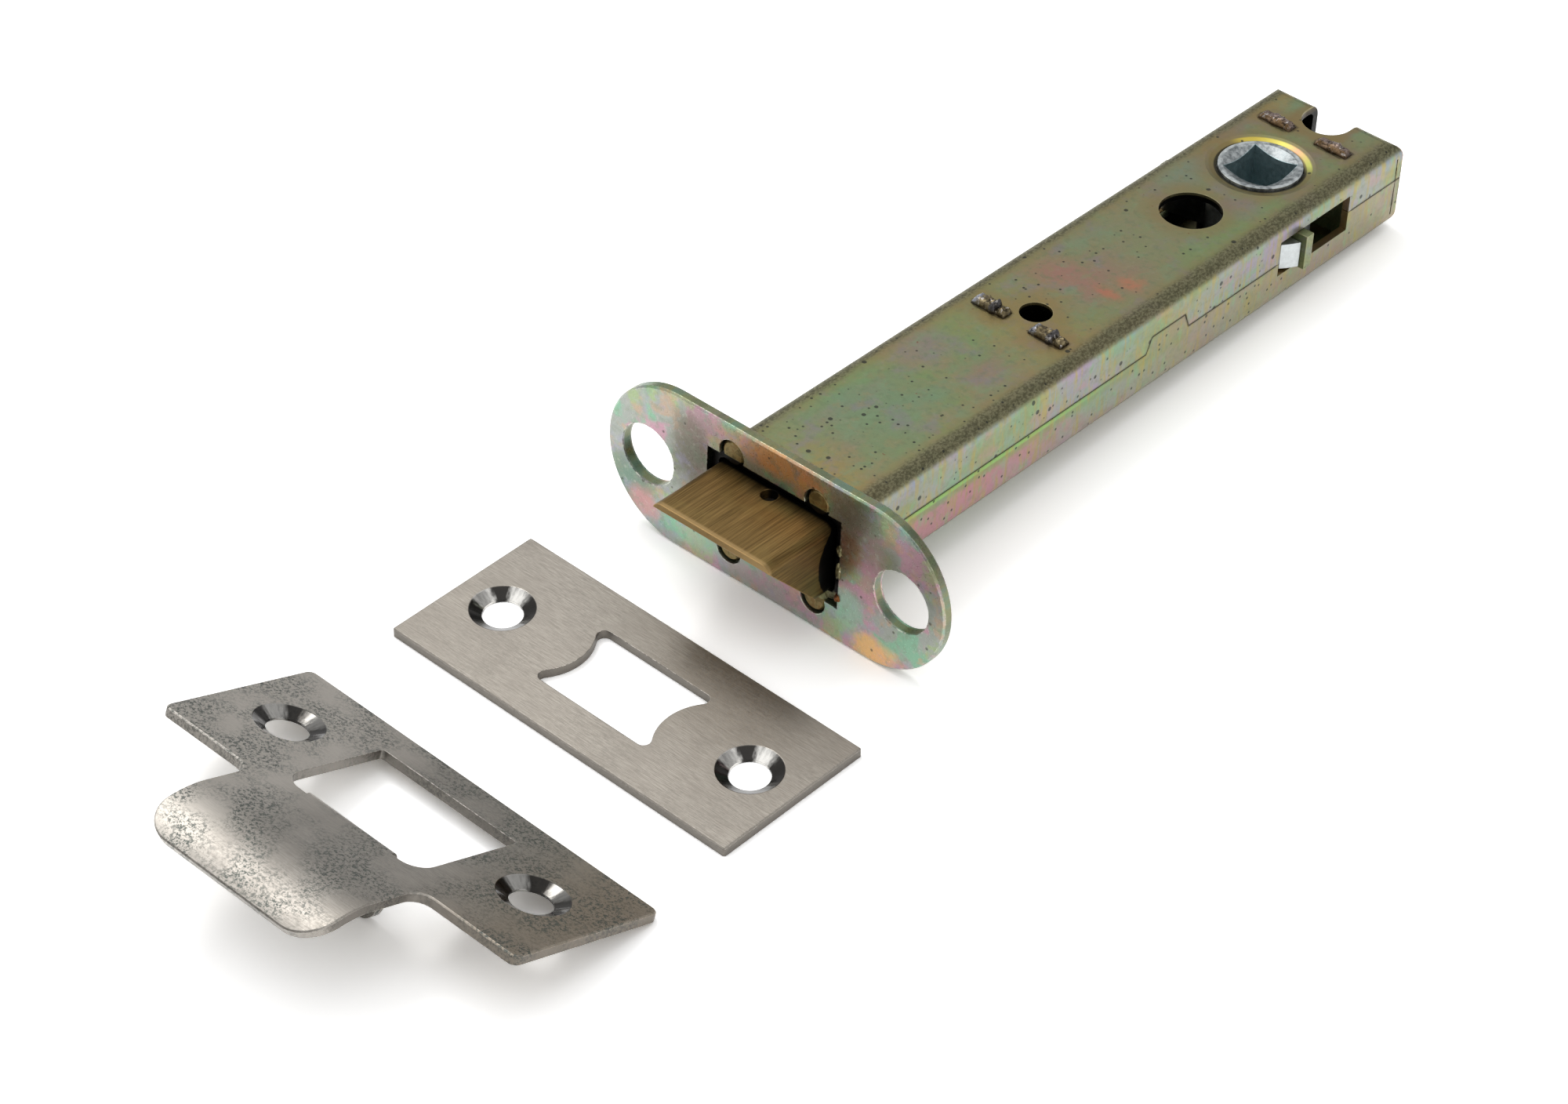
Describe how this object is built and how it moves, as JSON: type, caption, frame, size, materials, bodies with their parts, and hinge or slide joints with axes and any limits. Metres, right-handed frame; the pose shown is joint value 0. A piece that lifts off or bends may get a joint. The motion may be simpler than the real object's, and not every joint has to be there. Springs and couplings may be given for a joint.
{
  "type": "door latch",
  "caption": "Tubular mortice door latch with a bevelled sprung bolt, round-ended forend, turning follower, loose forend cover plate and lipped strike plate.",
  "frame": {"origin": "centre of the forend's front face", "axes": "+X along the forend's length, +Y backwards into the door along the case, +Z through the door's thickness"},
  "size_m": [0.0655, 0.2231, 0.0286],
  "materials": {
    "passivated_steel": "yellow passivated zinc, iridescent",
    "forend_steel": "pale passivated zinc, iridescent",
    "spring_steel": "oiled spring steel",
    "cast_zinc": "bare die-cast zinc",
    "aged_brass": "brushed and aged",
    "satin_nickel": "satin nickel plate"
  },
  "bodies": {
    "case": {"upper_case_shell": "passivated_steel", "lower_case_shell": "passivated_steel", "forend_plate": "forend_steel", "mid_spring_plate": "passivated_steel", "rear_stop_plate": "passivated_steel", "lever_spring": "spring_steel", "forend_cover_plate": "satin_nickel", "strike_plate": "satin_nickel"},
    "follower": {"follower": "cast_zinc"},
    "carriage": {"carriage": "passivated_steel", "bolt_spring": "spring_steel"},
    "bolt": {"bolt_head": "aged_brass", "bolt_tail": "spring_steel", "bolt_pin": "spring_steel"}
  },
  "joints": [
    {"name": "follower_turn", "type": "hinge", "parent": "case", "child": "follower", "pos_m": [0, 0.1069, 0], "axis": [0, 0, 1], "range_deg": [0, 46.4]},
    {"name": "carriage_slide", "type": "slide", "parent": "case", "child": "carriage", "axis": [0, 1, 0], "range_m": [0, 0.0111], "stiffness_N_per_m": 1500, "springref_m": -0.006, "deforming": ["lever_spring"]},
    {"name": "bolt_slide", "type": "slide", "parent": "carriage", "child": "bolt", "axis": [0, 1, 0], "range_m": [0, 0.0123], "stiffness_N_per_m": 400, "springref_m": -0.008, "deforming": ["bolt_spring"]}
  ],
  "couplings": [
    {"joint": "follower_turn", "follows": "carriage_slide", "rad_per_m": 72.95}
  ]
}
